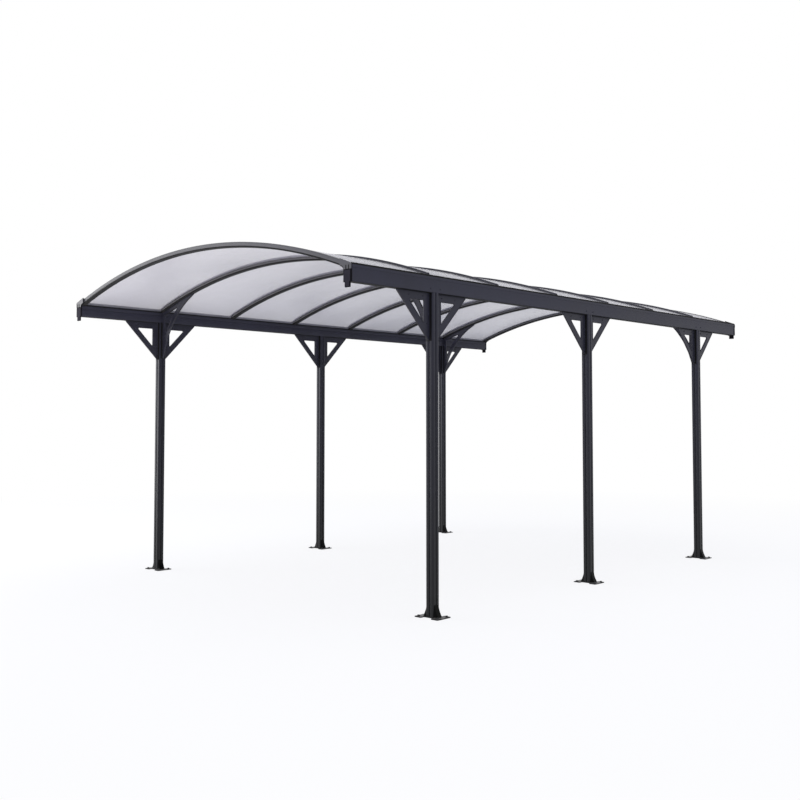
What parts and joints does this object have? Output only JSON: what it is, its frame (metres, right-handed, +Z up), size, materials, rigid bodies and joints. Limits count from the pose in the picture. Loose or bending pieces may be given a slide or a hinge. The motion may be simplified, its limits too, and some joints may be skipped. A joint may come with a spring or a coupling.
{
  "type": "carport",
  "caption": "Open carport with an arched translucent roof on curved ribs, eave beams along both sides and braced grooved posts on bolted feet.",
  "frame": {"origin": "on the ground below the middle of the roof", "axes": "+X across the carport to the right seen from the front, +Y from the front to the back, +Z up"},
  "size_m": [3.114, 5.05, 2.3683],
  "materials": {
    "post_metal": "satin powder coat",
    "beam_metal": "satin powder coat",
    "rib_metal": "satin powder coat",
    "brace_metal": "satin powder coat",
    "foot_metal": "satin powder coat",
    "cap_plastic": "satin",
    "roof_sheet": "translucent twin-wall sheet, smoky grey",
    "seal_strip": "matt grey"
  },
  "bodies": {
    "root": {"front_left_post": "post_metal", "middle_left_post": "post_metal", "back_left_post": "post_metal", "front_right_post": "post_metal", "middle_right_post": "post_metal", "back_right_post": "post_metal", "front_left_foot": "foot_metal", "middle_left_foot": "foot_metal", "back_left_foot": "foot_metal", "front_right_foot": "foot_metal", "middle_right_foot": "foot_metal", "back_right_foot": "foot_metal", "left_eave_beam": "beam_metal", "right_eave_beam": "beam_metal", "front_left_end_cap": "cap_plastic", "back_left_end_cap": "cap_plastic", "front_right_end_cap": "cap_plastic", "back_right_end_cap": "cap_plastic", "front_edge_rib": "rib_metal", "arch_rib_2": "rib_metal", "arch_rib_3": "rib_metal", "arch_rib_4": "rib_metal", "arch_rib_5": "rib_metal", "arch_rib_6": "rib_metal", "arch_rib_7": "rib_metal", "back_edge_rib": "rib_metal", "roof_panel_1": "roof_sheet", "roof_panel_2": "roof_sheet", "roof_panel_3": "roof_sheet", "roof_panel_4": "roof_sheet", "roof_panel_5": "roof_sheet", "roof_panel_6": "roof_sheet", "roof_panel_7": "roof_sheet", "left_eave_seal": "seal_strip", "right_eave_seal": "seal_strip", "front_left_beam_braces": "brace_metal", "middle_left_beam_braces": "brace_metal", "back_left_beam_braces": "brace_metal", "front_right_beam_braces": "brace_metal", "middle_right_beam_braces": "brace_metal", "back_right_beam_braces": "brace_metal", "front_left_cross_brace": "brace_metal", "back_left_cross_brace": "brace_metal", "front_right_cross_brace": "brace_metal", "back_right_cross_brace": "brace_metal"}
  },
  "joints": []
}
